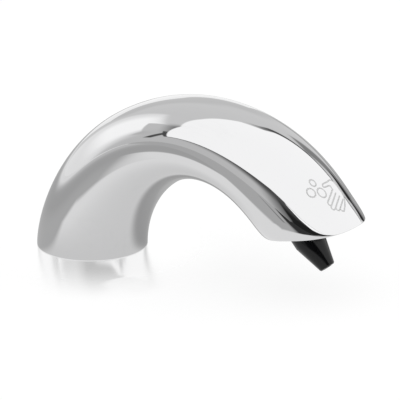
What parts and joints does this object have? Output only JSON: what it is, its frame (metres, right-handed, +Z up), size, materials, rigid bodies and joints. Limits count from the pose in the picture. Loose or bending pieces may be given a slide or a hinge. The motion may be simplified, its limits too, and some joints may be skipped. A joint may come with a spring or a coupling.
{
  "type": "automatic soap dispenser",
  "caption": "Deck-mounted automatic soap dispenser spout: a chrome arch with a black tapered nozzle and a hand sensor under its slanted tip.",
  "frame": {"origin": "centre of the round foot in the deck plane, on the axis of the fixing through the deck", "axes": "+X from the foot towards the tip and the nozzle, +Z up out of the deck, +Y to the left of a viewer who looks along +X"},
  "size_m": [0.1686, 0.0532, 0.0792],
  "materials": {
    "polished_chrome": "mirror-polished chrome plating",
    "stainless_steel": "plain stainless steel",
    "nickel_brass": "nickel-plated turned brass",
    "gloss_black_moulding": "glossy black moulding",
    "satin_black_moulding": "satin black moulding",
    "infrared_window": "dark red, polished",
    "black_rubber": "matt black",
    "natural_moulding": "undyed off-white moulding",
    "clear_tube": "milky clear soft tube",
    "grey_lead": "grey jacket",
    "circuit_board": "green solder mask",
    "clear_lens": "clear lens",
    "dark_lens": "dark lens"
  },
  "bodies": {
    "root": {"spout_shell": "polished_chrome", "base_screw_1": "stainless_steel", "base_screw_2": "stainless_steel", "base_screw_3": "stainless_steel", "line_bracket": "stainless_steel", "bracket_screw": "stainless_steel", "saddle_screw": "stainless_steel", "cover_screw_left": "stainless_steel", "cover_screw_right": "stainless_steel", "sensor_screw_left": "stainless_steel", "sensor_screw_right": "stainless_steel", "base_plate": "nickel_brass", "tip_cover": "satin_black_moulding", "nozzle_holder": "satin_black_moulding", "sensor_housing": "satin_black_moulding", "sensor_cap": "satin_black_moulding", "lead_socket": "satin_black_moulding", "sensor_window": "infrared_window", "deck_gasket": "black_rubber", "soap_inlet": "natural_moulding", "inlet_nut": "natural_moulding", "line_saddle": "natural_moulding", "soap_tube": "clear_tube", "sensor_lead": "grey_lead", "sensor_board": "circuit_board", "ir_emitter": "clear_lens", "ir_receiver": "dark_lens"},
    "nozzle_unit": {"nozzle": "gloss_black_moulding", "nozzle_seal": "black_rubber", "valve_seat": "natural_moulding", "valve_spring": "stainless_steel"},
    "ball": {"check_ball": "stainless_steel"}
  },
  "joints": [
    {"name": "nozzle_pull", "type": "slide", "parent": "root", "child": "nozzle_unit", "axis": [0.6561, 0, -0.7547], "range_m": [0, 0.012]},
    {"name": "valve_open", "type": "slide", "parent": "nozzle_unit", "child": "ball", "axis": [0.6561, 0, -0.7547], "range_m": [0, 0.0012], "stiffness_N_per_m": 150, "springref_m": -0.001, "deforming": ["valve_spring"]}
  ]
}
